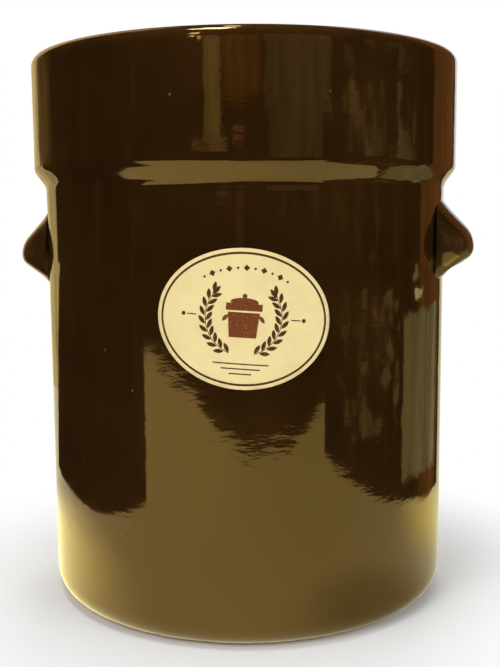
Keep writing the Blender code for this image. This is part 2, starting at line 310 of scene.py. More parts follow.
def make_glaze(name):
    """Glossy dark brown glaze, rust where it runs thin and as a painted highlight
    along the lugs' ridges, over buff clay.
    """
    material, tree, shader = new_material(name)
    spot = object_spot(tree)
    upright = object_spot(tree, (1, 1, 0.13))
    round_it = object_spot(tree, (0.13, 0.13, 1))

    clouds = spread(tree, cloud(tree, spot, 13, 3, 0.55), 0.32, 0.68)
    colour = blend_colours(
        tree, clouds, (0.0180, 0.0072, 0.0015), (0.0275, 0.0118, 0.0026)
    )
    runs = spread(tree, cloud(tree, upright, 95, 3, 0.6), 0.55, 0.78, 0.0, 0.55)
    colour = blend_colours(tree, runs, colour, (0.038, 0.0150, 0.0030))
    break_up = spread(tree, cloud(tree, spot, 130, 4, 0.65), 0.30, 0.72, 0.35, 1.0)
    # Rust where the glaze runs thin; along the lugs' ridges it is also a painted
    # highlight
    thin = times(tree, attribute(tree, "thin"), break_up)
    colour = blend_colours(tree, thin, colour, (0.058, 0.0215, 0.0055))
    dark_specks = specks(tree, spot, 150, 0.05, 0.16)
    colour = blend_colours(tree, dark_specks, colour, (0.004, 0.002, 0.001))
    tan_specks = specks(tree, object_spot(tree, (1, 1, 0.8)), 110, 0.022, 0.10)
    colour = blend_colours(tree, tan_specks, colour, (0.12, 0.065, 0.022))

    ragged = spread(tree, cloud(tree, spot, 260, 3), 0.3, 0.7, -0.28, 0.28)
    ragged = plus(tree, attribute(tree, "bare"), ragged)
    bare = spread(tree, ragged, 0.44, 0.56)
    sandy = spread(tree, cloud(tree, spot, 800, 2), 0.35, 0.65)
    clay = blend_colours(tree, sandy, (0.25, 0.165, 0.10), (0.44, 0.335, 0.225))
    iron = specks(tree, spot, 420, 0.10, 0.30)
    clay = blend_colours(tree, iron, clay, (0.06, 0.03, 0.015))
    colour = blend_colours(tree, bare, colour, clay)
    tree.links.new(colour, shader.inputs["Base Color"])

    smudges = spread(tree, cloud(tree, spot, 24, 4, 0.6), 0.45, 0.85, 0.055, 0.125)
    gloss = plus(tree, smudges, times(tree, dark_specks, 0.12))
    dull = times(tree, attribute(tree, "dull"), 0.12)
    gloss = plus(tree, gloss, dull)
    stains = times(tree, specks(tree, spot, 26, 0.16, 0.13), 0.13)
    gloss = plus(tree, gloss, stains)
    roughness = add_node(tree, "ShaderNodeMix", {0: bare, 2: gloss, 3: 0.85})
    tree.links.new(roughness.outputs[0], shader.inputs["Roughness"])
    shader.inputs["IOR"].default_value = 1.7
    shader.inputs["Specular IOR Level"].default_value = 0.9
    shader.inputs["Specular Tint"].default_value = (1.0, 0.70, 0.27, 1.0)

    peel = times(tree, cloud(tree, spot, 330, 2, 0.4), 0.0035)
    lively = spread(tree, cloud(tree, spot, 26, 2), 0.40, 0.66, 0.35, 1.9)
    lively = plus(tree, lively, attribute(tree, "thrown"))
    fine_rings = times(tree, cloud(tree, round_it, 400, 2, 0.5), 0.017)
    broad_rings = cloud(tree, object_spot(tree, (0.4, 0.4, 1)), 170, 3, 0.55)
    broad_rings = times(tree, broad_rings, 0.070)
    ripples = plus(tree, fine_rings, broad_rings)
    ripples = times(tree, ripples, lively)
    dimples = times(tree, cloud(tree, spot, 150, 2, 0.4), 0.020)
    swell = times(tree, cloud(tree, spot, 17, 1, 0.4), 0.13)
    pits = times(tree, specks(tree, spot, 190, 0.035, 0.12), -0.03)
    sand = times(tree, cloud(tree, spot, 700, 3, 0.65), 0.14)
    grain = times(tree, sand, bare)
    height = peel
    for layer in (ripples, dimples, swell, pits, grain):
        height = plus(tree, height, layer)
    add_relief(tree, shader, height)
    return material


def make_paper():
    """Cream label paper with a faint mottle and fibres."""
    material, tree, shader = new_material("cream_paper")
    spot = object_spot(tree)
    mottle = spread(tree, cloud(tree, spot, 42, 3, 0.6), 0.3, 0.7)
    colour = blend_colours(tree, mottle, (0.80, 0.645, 0.295), (0.86, 0.71, 0.345))
    fibres = spread(tree, cloud(tree, object_spot(tree, (1, 1, 3)), 620, 3), 0.5, 0.8)
    colour = blend_colours(
        tree, times(tree, fibres, 0.25), colour, (0.76, 0.60, 0.27)
    )
    tree.links.new(colour, shader.inputs["Base Color"])
    worn = spread(tree, cloud(tree, spot, 60, 2), 0.3, 0.7, 0.42, 0.58)
    tree.links.new(worn, shader.inputs["Roughness"])
    shader.inputs["Specular IOR Level"].default_value = 0.35
    tooth = times(tree, cloud(tree, spot, 900, 2), 0.010)
    wave = times(tree, cloud(tree, spot, 45, 2), 0.10)
    add_relief(tree, shader, plus(tree, tooth, wave))
    return material


def make_ink(name, colour, worn_colour):
    """Printing ink that lets a little of the paper through."""
    material, tree, shader = new_material(name)
    spot = object_spot(tree)
    wear = spread(tree, cloud(tree, spot, 900, 3, 0.6), 0.52, 0.80, 0.0, 0.6)
    mixed = blend_colours(tree, wear, colour, worn_colour)
    tree.links.new(mixed, shader.inputs["Base Color"])
    shader.inputs["Roughness"].default_value = 0.5
    shader.inputs["Specular IOR Level"].default_value = 0.15
    return material


# Round pieces

def draw_outline(shape, corners, closed):
    """Edges through (radius, height, fillet) corners at +X, fillets rounded."""
    verts = [shape.verts.new((radius, 0, height)) for radius, height, _ in corners]
    pairs = list(zip(verts, verts[1:]))
    if closed:
        pairs.append((verts[-1], verts[0]))
    for pair in pairs:
        shape.edges.new(pair)
    for vert, (_, _, fillet) in zip(verts, corners):
        if fillet == 0:
            continue
        sides = [edge.other_vert(vert).co - vert.co for edge in vert.link_edges]
        half = sides[0].angle(sides[1]) / 2
        shortest = min(side.length for side in sides)
        reach = min(fillet / math.tan(half), 0.98 * shortest)
        bmesh.ops.bevel(
            shape,
            geom=[vert],
            offset=reach,
            offset_type="OFFSET",
            segments=FILLET_STEPS,
            profile=0.5,
            affect="VERTICES",
            material=-1,
            clamp_overlap=True,
        )


def divide_long_edges(shape, longest):
    """Cuts each edge into lengths no longer than asked."""
    wanted = {}
    for edge in shape.edges:
        cuts = math.ceil(edge.calc_length() / longest) - 1
        if cuts > 0:
            wanted.setdefault(cuts, []).append(edge)
    for cuts, edges in wanted.items():
        bmesh.ops.subdivide_edges(shape, edges=edges, cuts=cuts)


def face_outwards(shape):
    bmesh.ops.recalc_face_normals(shape, faces=shape.faces)


def cut_faces(shape, place, normal, **options):
    """Cuts the shape's faces along a plane."""
    bmesh.ops.bisect_plane(
        shape,
        geom=shape.verts[:] + shape.edges[:] + shape.faces[:],
        plane_co=place,
        plane_no=normal,
        **options,
    )


def settle(shape, deepest):
    """Sinks the surface a little, unevenly, as a potter's hands leave it."""
    shape.normal_update()
    moves = []
    for vert in shape.verts:
        spot = vert.co
        slow = noise.noise(Vector((spot.x * 17, spot.y * 17, spot.z * 26)))
        rings = noise.noise(Vector((spot.x * 6, spot.y * 6, spot.z * 62)))
        depth = 0.5 + 0.38 * slow + 0.12 * rings
        above_foot = min(1, max(0, spot.z / 0.008))
        from_seam = min(1, abs(spot.z - FLANGE_BOTTOM) / 0.006)
        depth = max(0, min(1, depth)) * above_foot * from_seam
        moves.append(vert.normal * -deepest * depth)
    for vert, move in zip(shape.verts, moves):
        vert.co += move


def mark(mesh, name, rule):
    """Gives each vertex a number from its place, for the materials to read.

    Where a mesh has no such number, the materials read 0.
    """
    layer = mesh.attributes.new(name, "FLOAT", "POINT")
    layer.data.foreach_set("value", [rule(vert.co) for vert in mesh.vertices])


def ring_distance(spot, radius, height):
    """How far a point is from a ring round the crock's axis."""
    return math.hypot(math.hypot(spot.x, spot.y) - radius, spot.z - height)


def near_rings(rings):
    """A rule that is 1 on the given (radius, height, reach) rings."""
    def rule(spot):
        near = [
            math.exp(-((ring_distance(spot, radius, height) / reach) ** 2))
            for radius, height, reach in rings
        ]
        return max(near, default=0.0)
    return rule


def everywhere(spot):
    return 1.0


def add_piece(name, shape, material, body, replaced):
    """Turns a finished bmesh into a piece that rides on a CAD body."""
    mesh = bpy.data.meshes.new(name)
    shape.to_mesh(mesh)
    shape.free()
    mesh.shade_smooth()
    mesh.materials.append(material)
    piece = bpy.data.objects.new(name, mesh)
    bpy.context.scene.collection.objects.link(piece)
    if replaced:
        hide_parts(replaced)
    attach(piece, body)
    return piece


def spin_outline(corners, closed=False, steps=TURN_STEPS, longest=0.004):
    """A turned shape from its outline, with its normals out."""
    shape = bmesh.new()
    draw_outline(shape, corners, closed)
    divide_long_edges(shape, longest)
    bmesh.ops.spin(
        shape,
        geom=shape.verts[:] + shape.edges[:],
        cent=(0, 0, 0),
        axis=(0, 0, 1),
        dvec=(0, 0, 0),
        angle=math.tau,
        steps=steps,
        use_merge=True,
        use_duplicate=False,
    )
    bmesh.ops.remove_doubles(shape, verts=shape.verts, dist=0.000001)
    face_outwards(shape)
    return shape


def make_body(glaze):
    """The vessel: base, wall, shoulder and neck.

    Its wall ends at the collar's lower edge, where the two were luted and
    smoothed into one wall before firing.
    """
    mouth_bottom = SHOULDER_HEIGHT - SHOULDER_THICKNESS
    corners = [
        (0, BASE_THICKNESS, 0),
        (BODY_INSIDE, BASE_THICKNESS, INSIDE_FILLET),
        (BODY_INSIDE, mouth_bottom - SHOULDER_SLOPE, INSIDE_FILLET),
        (MOUTH_RADIUS, mouth_bottom, NECK_FILLET),
        (MOUTH_RADIUS, NECK_TOP, NECK_FILLET),
        (NECK_RADIUS, NECK_TOP, NECK_FILLET),
        (NECK_RADIUS, SHOULDER_HEIGHT, 0),
        (BODY_RADIUS, FLANGE_BOTTOM, 0),
        (BODY_RADIUS, 0, HEEL_FILLET),
        (FOOT_INNER, 0, FOOT_FILLET),
        (FOOT_INNER - FOOT_CHAMFER, FOOT_RECESS, FOOT_FILLET),
        (0, FOOT_RECESS, 0),
    ]
    shape = spin_outline(corners)
    settle(shape, WALL_UNEVENNESS)
    piece = add_piece("crock_body_glazed", shape, glaze, "crock", "crock_body")
    piece.data.set_sharp_from_angle(angle=SHARP_ANGLE)
    inset, reach = 0.001, 0.004
    edges = near_rings([
        (MOUTH_RADIUS + inset, NECK_TOP - inset, reach),
        (NECK_RADIUS - inset, NECK_TOP - inset, reach),
    ])
    mark(piece.data, "thin", edges)

    def bare_foot(spot):
        """The glaze is wiped off the foot ring and what lies inside it."""
        out = math.hypot(spot.x, spot.y)
        if spot.z > FOOT_RECESS + 0.001 or out > BODY_RADIUS - 0.008:
            return 0.0
        if out < FOOT_INNER + 0.001:
            return 1.0
        return max(0.0, min(1.0, 1.25 - spot.z / 0.0022))

    mark(piece.data, "bare", bare_foot)


def make_collar(glaze):
    """The collar: the channel's floor and its tall outer wall."""
    flange_inner = NECK_RADIUS + SEAT_GAP
    corners = [
        (CHANNEL_OUTER, RIM_HEIGHT, RIM_INNER_FILLET),
        (COLLAR_RADIUS, RIM_HEIGHT, RIM_OUTER_FILLET),
        (COLLAR_RADIUS, STEP_TOP, STEP_FILLET),
        (BODY_RADIUS, STEP_BOTTOM, STEP_FILLET),
        (BODY_RADIUS, FLANGE_BOTTOM, 0),
        (flange_inner, FLANGE_BOTTOM, 0),
        (flange_inner, CHANNEL_BOTTOM, 0),
        (CHANNEL_OUTER, CHANNEL_BOTTOM, CHANNEL_FILLET),
    ]
    shape = spin_outline(corners, closed=True)
    settle(shape, WALL_UNEVENNESS)
    piece = add_piece(
        "collar_glazed", shape, glaze, "crock", "water_channel_collar"
    )
    piece.data.set_sharp_from_angle(angle=SHARP_ANGLE)
    edges = near_rings([
        (COLLAR_RADIUS - 0.002, RIM_HEIGHT - 0.001, 0.0042),
        (CHANNEL_OUTER + 0.001, RIM_HEIGHT - 0.001, 0.0036),
    ])
    mark(piece.data, "thin", edges)
    step = near_rings([(BODY_RADIUS + 0.003, STEP_BOTTOM + 0.005, 0.009)])

    def thrown(spot):
        """Livelier throwing rings at the right end of the step."""
        rightward = max(0.0, min(1.0, (spot.x - 0.080) / 0.020))
        return 3.0 * step(spot) * rightward

    mark(piece.data, "thrown", thrown)


def dome(middle, edge_radius, edge_height):
    """Corners of a shallow dome, from its flat land out to its edge."""
    corners = [(0, middle, 0)]
    for step in range(DOME_STEPS + 1):
        out = step / DOME_STEPS
        radius = LID_LAND_RADIUS + (edge_radius - LID_LAND_RADIUS) * out
        corners.append((radius, middle - (middle - edge_height) * out**2, 0))
    return corners


def make_lid(glaze):
    """The cap. A notch at each side of its skirt is made by raising the edge."""
    above = dome(LID_LAND, LID_OUTER, LID_SHOULDER)
    below = dome(LID_LAND - LID_THICKNESS, LID_INNER, LID_UNDERSIDE)
    skirt = [
        (LID_OUTER, LID_SHOULDER, LID_EDGE),
        (LID_OUTER, LID_BOTTOM, LID_SKIRT_EDGE),
        (LID_INNER, LID_BOTTOM, LID_SKIRT_EDGE),
        (LID_INNER, LID_UNDERSIDE, LID_INSIDE_FILLET),
    ]
    shape = spin_outline(above[:-1] + skirt + below[-2::-1], longest=0.003)
    for side in (1, -1):
        cut_faces(shape, (0, side * VENT_WIDTH / 2, 0), (0, 1, 0))
    top = LID_UNDERSIDE - VENT_FADE
    for vert in shape.verts:
        across = abs(vert.co.y) / (VENT_WIDTH / 2)
        if math.hypot(vert.co.x, vert.co.y) < LID_INNER - 0.001 or vert.co.z > top:
            continue
        if across < 1:
            lift = VENT_HEIGHT * math.sqrt(1 - across**2)
            share = (top - vert.co.z) / (top - LID_BOTTOM)
            vert.co.z += lift * share
    settle(shape, LID_UNEVENNESS)
    piece = add_piece("lid_glazed", shape, glaze, "lid", "lid")
    edges = near_rings([(LID_OUTER - 0.002, LID_SHOULDER - 0.002, 0.0045)])
    mark(piece.data, "thin", edges)

    def wiped_edge(spot):
        """The skirt's lower edge is bare."""
        if math.hypot(spot.x, spot.y) < LID_INNER - 0.001:
            return 0.0
        return max(0.0, min(1.0, 1.4 - (spot.z - LID_BOTTOM) / 0.0028))

    mark(piece.data, "bare", wiped_edge)


def make_knob(glaze):
    """The mushroom knob, with a soft fillet where it meets the lid."""
    corners = [
        (0, KNOB_TOP, 0),
        (KNOB_RADIUS / 2, KNOB_TOP - 0.0006, 0.030),
        (KNOB_RADIUS, KNOB_TOP - KNOB_CROWN, KNOB_EDGE),
        (KNOB_RADIUS, KNOB_TOP - KNOB_CAP_EDGE, KNOB_EDGE),
        (KNOB_STEM_RADIUS, KNOB_TOP - KNOB_CAP, KNOB_NECK_FILLET),
        (KNOB_STEM_RADIUS, KNOB_BOTTOM + KNOB_FOOT_HEIGHT, KNOB_NECK_FILLET),
        (KNOB_FOOT_RADIUS, KNOB_BOTTOM, 0),
        (0, KNOB_BOTTOM, 0),
    ]
    shape = spin_outline(corners, steps=KNOB_STEPS, longest=0.002)
    settle(shape, KNOB_UNEVENNESS)
    piece = add_piece("lid_knob_glazed", shape, glaze, "lid", "lid_knob")
    mark(piece.data, "thin", near_rings([(0.0205, KNOB_TOP - 0.0045, 0.0035)]))


# Handles

def lug_section():
    """A handle's upright section, as (distance from the axis, height above
    its tip) points.

    It runs from the root above, round a flatter brow and a rounder nose, to
    the root below.
    """
    tip = BODY_RADIUS + HANDLE_REACH
    above = [
        (Vector((HANDLE_ROOT, HANDLE_ROOT_RISE)), HANDLE_ROOT_RADIUS),
        (Vector((tip - HANDLE_BROW_RADIUS, 0)), HANDLE_BROW_RADIUS),
    ]
    below = [
        (Vector((HANDLE_ROOT, -HANDLE_ROOT_DROP)), HANDLE_ROOT_RADIUS),
        (Vector((tip - HANDLE_NOSE_RADIUS, 0)), HANDLE_NOSE_RADIUS),
    ]
    points = []
    for step in range(SECTION_STEPS + 1):
        angle = math.pi * (0.5 - step / SECTION_STEPS)
        facing = Vector((math.cos(angle), math.sin(angle)))
        rounds = above if facing.y >= 0 else below
        centre, fillet = max(rounds, key=lambda r: r[0].dot(facing) + r[1])
        spot = centre + facing * fillet
        if points:
            last = points[-1]
            cuts = math.ceil((spot - last).length / SECTION_PART)
            points += [last.lerp(spot, cut / cuts) for cut in range(1, cuts)]
        points.append(spot)
    return points


def make_handle(name, side, glaze, replaced):
    """A pressed lug with a hollow underneath. side is -1 at -X, 1 at +X."""
    section = lug_section()
    tip_height = HANDLE_TIP_HEIGHT + side * HANDLE_STAGGER
    across = len(section) - 1
    shape = bmesh.new()
    bmesh.ops.create_grid(shape, x_segments=across, y_segments=HANDLE_ROWS, size=1)
    for vert in shape.verts:
        point = section[round((vert.co.x + 1) / 2 * across)]
        along = math.sin(vert.co.y * math.pi / 2)
        full = 1 - min(1, abs(along)) ** HANDLE_SQUARENESS
        full **= 1 / HANDLE_SQUARENESS
        out = HANDLE_ROOT + (point.x - HANDLE_ROOT) * full
        rise = point.y * full
        y = along * HANDLE_WIDTH / 2

        from_wall = max(0, math.hypot(out, y) - BODY_RADIUS)
        luted = 1 - min(1, from_wall / LUTING_REACH)
        away = Vector((y / HANDLE_WIDTH, rise / HANDLE_WIDTH))
        if away.length > 0.05:
            away.normalize()
            y += away.x * LUTING_WIDTH * luted**2
            rise += away.y * LUTING_RISE * luted**2

        into = (out - BODY_RADIUS - SCOOP_OUT) / SCOOP_REACH
        hollow = 1 - into**2 - (y / SCOOP_WIDTH * 2) ** 2
        if hollow > 0 and rise < SCOOP_START:
            ceiling = SCOOP_RISE * math.sqrt(hollow) - SCOOP_BELOW_TIP
            rise = max(rise, ceiling)
        vert.co = (side * out, y, tip_height + rise)
    for vert in shape.verts:
        spot = vert.co
        sway = noise.noise(Vector((spot.x * 40 + 3 * side, spot.y * 40, spot.z * 40)))
        vert.co.x -= side * HANDLE_UNEVENNESS * (0.5 + 0.5 * sway)
    bmesh.ops.remove_doubles(shape, verts=shape.verts, dist=TOUCHING)
    loops = [edge for edge in shape.edges if edge.is_boundary]
    bmesh.ops.holes_fill(shape, edges=loops, sides=0)
    face_outwards(shape)
    bmesh.ops.smooth_vert(
        shape,
        verts=[vert for vert in shape.verts if not vert.is_boundary],
        factor=0.35,
        use_axis_x=True,
        use_axis_y=True,
        use_axis_z=True,
    )
    piece = add_piece(name, shape, glaze, "crock", replaced)

    def thin_ridge_and_highlight(spot):
        """The glaze runs thin along the outer edge, and the lighter rust there is also
        a painted highlight along the ridge.
        """
        out = math.hypot(spot.x, spot.y) - BODY_RADIUS
        high = math.exp(-(((spot.z - tip_height) / 0.010) ** 2))
        return high * max(0.0, min(1.0, (out - 0.004) / 0.010))

    # On the lug this mark is glaze run thin and also a painted highlight along the
    # ridge
    mark(piece.data, "thin", thin_ridge_and_highlight)
    mark(piece.data, "dull", everywhere)


# Label

def wrap(shape, lift):
    """Bends flat artwork round the wall: x runs round it and y up it."""
    tilt = Matrix.Rotation(-LABEL_TILT, 4, "Z")
    for vert in shape.verts:
        flat = tilt @ vert.co
        radius = LABEL_SEAT + lift + vert.co.z
        angle = flat.x / LABEL_SEAT + LABEL_TURN
        vert.co = (
            radius * math.sin(angle),
            -radius * math.cos(angle),
            LABEL_MIDDLE + flat.y,
        )


def cut_into_strips(shape, step):
    """Cuts the label's flat faces along both ways so that they can bend."""
    for axis, extent in enumerate((LABEL_WIDTH / 2, LABEL_HEIGHT / 2)):
        count = int(extent / step)
        for index in range(-count, count + 1):
            place = Vector((0, 0, 0))
            place[axis] = index * step
            normal = Vector((0, 0, 0))
            normal[axis] = 1
            cut_faces(shape, place, normal)


def make_label(paper):
    """Oval paper label."""
    shape = bmesh.new()
    bmesh.ops.create_circle(shape, cap_ends=True, segments=OVAL_STEPS, radius=1)
    bmesh.ops.scale(
        shape, vec=(LABEL_WIDTH / 2, LABEL_HEIGHT / 2, 1), verts=shape.verts
    )
    cut_into_strips(shape, PAPER_STRIP)
    bmesh.ops.dissolve_degenerate(shape, dist=SLIVER, edges=shape.edges[:])
    bmesh.ops.solidify(shape, geom=shape.faces[:], thickness=-LABEL_THICKNESS)
    face_outwards(shape)
    wrap(shape, 0)
    face_outwards(shape)
    piece = add_piece("label_paper", shape, paper, "crock", "label")


def add_border(shape, inset, width):
    """An oval line all round, inside the label's edge."""
    loops = []
    for depth in (inset, inset + width):
        made = bmesh.ops.create_circle(
            shape, cap_ends=False, segments=OVAL_STEPS, radius=1
        )
        size = (LABEL_WIDTH / 2 - depth, LABEL_HEIGHT / 2 - depth, 1)
        bmesh.ops.scale(shape, vec=size, verts=made["verts"])
        loops += list({edge for vert in made["verts"] for edge in vert.link_edges})
    bmesh.ops.bridge_loops(shape, edges=loops)


def add_leaf(shape, x, y, length, width, turn):
    """A pointed leaf, its middle at x, y."""
    made = bmesh.ops.create_circle(shape, cap_ends=True, segments=20, radius=1)
    verts = made["verts"]
    for vert in verts:
        swell = 1 - vert.co.x**2
        vert.co.y = math.copysign(swell, vert.co.y) * width / 2 if swell > 0.001 else 0
        vert.co.x *= length / 2
    place = Matrix.Translation((x, y, 0)) @ Matrix.Rotation(turn, 4, "Z")
    bmesh.ops.transform(shape, matrix=place, verts=verts)


def add_bar(shape, x, y, length, width, turn=0.0):
    """A straight printed line, or a bar, its middle at x, y."""
    made = bmesh.ops.create_grid(shape, x_segments=1, y_segments=1, size=0.5)
    bmesh.ops.scale(shape, vec=(length, width, 1), verts=made["verts"])
    place = Matrix.Translation((x, y, 0)) @ Matrix.Rotation(turn, 4, "Z")
    bmesh.ops.transform(shape, matrix=place, verts=made["verts"])
    return made["verts"]


def add_disc(shape, x, y, radius, squash=1.0):
    """A printed dot, its middle at x, y."""
    made = bmesh.ops.create_circle(shape, cap_ends=True, segments=28, radius=radius)
    bmesh.ops.scale(shape, vec=(1, squash, 1), verts=made["verts"])
    bmesh.ops.translate(shape, vec=(x, y, 0), verts=made["verts"])
    return made["verts"]


def add_sprig(shape, side):
    """A curved stem with leaves, on one side of the label's middle."""
    reach = 0.0205
    centre = 0.001
    start = -68
    stem_parts = 22
    for step in range(stem_parts):
        angle = math.radians(start + 5.0 * step)
        x = side * reach * math.cos(angle)
        y = centre + reach * math.sin(angle)
        turn = side * (angle + math.pi / 2)
        add_bar(shape, x, y, 0.0021, 0.00042, turn)
    for step in range(9):
        angle = math.radians(-60 + 12.5 * step)
        for outward in (-1, 1):
            shift = reach + outward * 0.0020
            lean = angle + math.radians(3.5 * outward)
            x = side * shift * math.cos(lean)
            y = centre + shift * math.sin(lean)
            turn = side * (lean + math.pi / 2 - outward * math.radians(34))
            add_leaf(shape, x, y, 0.0058, 0.0023, turn)
    angle = math.radians(start + 5.0 * stem_parts)
    x = side * reach * math.cos(angle)
    y = centre + reach * math.sin(angle)
    add_leaf(shape, x, y, 0.0062, 0.0024, side * (angle + math.pi / 2))


def make_print(name, shape, ink):
    """Finishes a layer of printing that lies on the label."""
    cut_into_strips(shape, PRINT_STRIP)
    bmesh.ops.dissolve_degenerate(shape, dist=SLIVER, edges=shape.edges[:])
    wrap(shape, LABEL_THICKNESS + INK_LIFT)
    face_outwards(shape)
    for face in shape.faces:
        if face.normal.dot(Vector((0, -1, 0))) < 0:
            face.normal_flip()
    piece = add_piece(name, shape, ink, "crock", None)


def make_brown_print(ink):
    """A border line, two leafy sprigs, lozenges above and rules below."""
    shape = bmesh.new()
    add_border(shape, 0.0020, 0.0012)
    for side in (-1, 1):
        add_sprig(shape, side)
    arc = 0.043
    arc_middle = -0.0155
    for step in range(-5, 6):
        angle = math.radians(90 - 6.2 * step)
        x = arc * math.cos(angle)
        y = arc_middle + arc * math.sin(angle)
        size = 0.0034 if step % 2 == 0 else 0.0016
        add_bar(shape, x, y, size * 0.72, size * 0.72, angle + math.pi / 4)
    for row, length in enumerate((0.030, 0.021, 0.012)):
        add_bar(shape, 0, -0.0240 - 0.0027 * row, length, 0.0007)
    for side in (-1, 1):
        add_disc(shape, side * 0.0325, 0.001, 0.0011)
        add_bar(shape, side * 0.0280, 0.001, 0.0050, 0.0006)
    make_print("label_brown_print", shape, ink)


def make_rust_print(ink):
    """A small plain picture of a lidded pot in the label's middle."""
    shape = bmesh.new()
    belly = add_bar(shape, 0, -0.0030, 0.0170, 0.0135)
    for vert in belly:
        if vert.co.y < -0.004:
            vert.co.x *= 0.86
    add_bar(shape, 0, 0.0066, 0.0195, 0.0038)
    add_disc(shape, 0, 0.0093, 0.0075, 0.30)
    add_disc(shape, 0, 0.0125, 0.0013)
    for side in (-1, 1):
        add_leaf(shape, side * 0.0098, 0.0005, 0.0048, 0.0022, side * -0.9)
    make_print("label_rust_print", shape, ink)


# Weights

def make_weight(name, side, clay, replaced):
    """Half-round weight with a finger hole. side is -1 at -X, 1 at +X."""
    shape = bmesh.new()
    bmesh.ops.create_circle(
        shape, cap_ends=True, segments=WEIGHT_STEPS, radius=WEIGHT_RADIUS
    )
    cut_faces(shape, (WEIGHT_FLAT, 0, 0), (1, 0, 0), clear_inner=True)
    corners = [
        vert for vert in shape.verts if abs(vert.co.x - WEIGHT_FLAT) < TOUCHING
    ]
    bmesh.ops.bevel(
        shape,
        geom=corners,
        offset=WEIGHT_CORNER,
        offset_type="OFFSET",
        segments=8,
        profile=0.5,
        affect="VERTICES",
        material=-1,
    )
    bmesh.ops.delete(shape, geom=shape.faces[:], context="FACES_ONLY")
    made = bmesh.ops.create_circle(
        shape,
        cap_ends=False,
        segments=WEIGHT_HOLE_STEPS,
        radius=WEIGHT_HOLE_RADIUS,
    )
    bmesh.ops.translate(shape, vec=(WEIGHT_HOLE_OUT, 0, 0), verts=made["verts"])
    bmesh.ops.triangle_fill(shape, use_beauty=True, edges=shape.edges[:])
    raised = bmesh.ops.extrude_face_region(shape, geom=shape.faces[:])
    lifted = [part for part in raised["geom"] if isinstance(part, bmesh.types.BMVert)]
    bmesh.ops.translate(shape, vec=(0, 0, WEIGHT_THICKNESS), verts=lifted)
    face_outwards(shape)
    rims = [
        edge for edge in shape.edges
        if len(edge.link_faces) == 2 and edge.calc_face_angle() > WEIGHT_RIM_ANGLE
    ]
    bmesh.ops.bevel(
        shape,
        geom=rims,
        offset=WEIGHT_EDGE,
        offset_type="OFFSET",
        segments=6,
        profile=0.5,
        affect="EDGES",
        material=-1,
    )
    caps = [face for face in shape.faces if abs(face.normal.z) > 0.999]
    bmesh.ops.inset_region(shape, faces=caps, thickness=0.0006)
    bmesh.ops.translate(shape, vec=(0, 0, WEIGHT_BOTTOM), verts=shape.verts)
    if side < 0:
        turn = Matrix.Rotation(math.pi, 4, "Z")
        bmesh.ops.transform(shape, matrix=turn, verts=shape.verts)
    piece = add_piece(name, shape, clay, replaced, replaced)


# Studio

def add_stage_mesh(name, shape, material):
    """A thing of the studio, not of the crock."""
    mesh = bpy.data.meshes.new(name)
    shape.to_mesh(mesh)
    shape.free()
    mesh.materials.append(material)
    thing = bpy.data.objects.new(name, mesh)
    bpy.context.scene.collection.objects.link(thing)
    return thing


def towards(azimuth, distance, height=0.0):
    """A place round the crock. The azimuth is in degrees as the camera sees
    it: 0 is towards the camera and 90 is to the right."""
    angle = math.radians(azimuth) + VIEW_TURN
    return Vector((distance * math.sin(angle), -distance * math.cos(angle), height))


def make_floor():
    """A plain pale floor that fades to the white of the background.

    For reflections it glows instead with painted light, brighter towards the light at
    the left, with painted pools of light and a painted shadow of the crock at its
    front right.
    """
    material, tree = new_stage_material("pale_floor")
    spot = add_node(tree, "ShaderNodeTexCoord").outputs["Object"]
    distance = add_node(
        tree, "ShaderNodeVectorMath", {0: spot}, operation="LENGTH"
    ).outputs["Value"]
    fade_start, fade_end = 0.12, 0.27
    far = spread(tree, distance, fade_start, fade_end)
    pale = add_node(tree, "ShaderNodeBsdfDiffuse", {"Color": (0.96, 0.955, 0.94, 1)})
    white = add_node(
        tree, "ShaderNodeEmission", {"Color": (1, 1, 1, 1), "Strength": 1.0}
    )
    lit_side = add_node(
        tree,
        "ShaderNodeVectorMath",
        {0: spot, 1: towards(-110, 1.0)},
        operation="DOT_PRODUCT",
    ).outputs["Value"]
    # Painted light that reflections see: the floor brighter towards the light at the
    # left
    painted_floor_light_and_shade = blend_colours(
        tree,
        spread(tree, lit_side, -0.30, 0.05),
        (0.80, 0.75, 0.49),
        (1.02, 0.92, 0.62),
    )
    # Painted pools of light, the first one a painted shadow of the crock: middle,
    # where each fades out, where it is full, colour
    pools = [
        (towards(45, 0.156), 0.11, 0.02, (0.50, 0.45, 0.27)),
        (towards(102, 0.29), 0.16, 0.03, (1.60, 1.38, 0.52)),
        (towards(-101, 0.163), 0.19, 0.05, (2.40, 2.12, 0.98)),
    ]
    for centre, wide, narrow, colour in pools:
        near = add_node(
            tree, "ShaderNodeVectorMath", {0: spot, 1: centre}, operation="DISTANCE"
        ).outputs["Value"]
        painted_floor_light_and_shade = blend_colours(tree, spread(tree, near, wide, narrow), painted_floor_light_and_shade, colour)
    # The floor glows with this painted light and shade where reflections see it
    painted_floor_glow = add_node(tree, "ShaderNodeEmission", {"Color": painted_floor_light_and_shade})
    rays = add_node(tree, "ShaderNodeLightPath").outputs
    seen = combine(tree, "MAXIMUM", rays["Is Camera Ray"], rays["Is Transmission Ray"])
    share = times(tree, far, seen)
    plain = mix_shaders(tree, share, pale, white)
    mixed = mix_shaders(tree, rays["Is Glossy Ray"], plain, painted_floor_glow)
    add_node(tree, "ShaderNodeOutputMaterial", {"Surface": mixed.outputs[0]})
    shape = bmesh.new()
    bmesh.ops.create_grid(shape, x_segments=4, y_segments=4, size=30)
    add_stage_mesh("floor", shape, material)


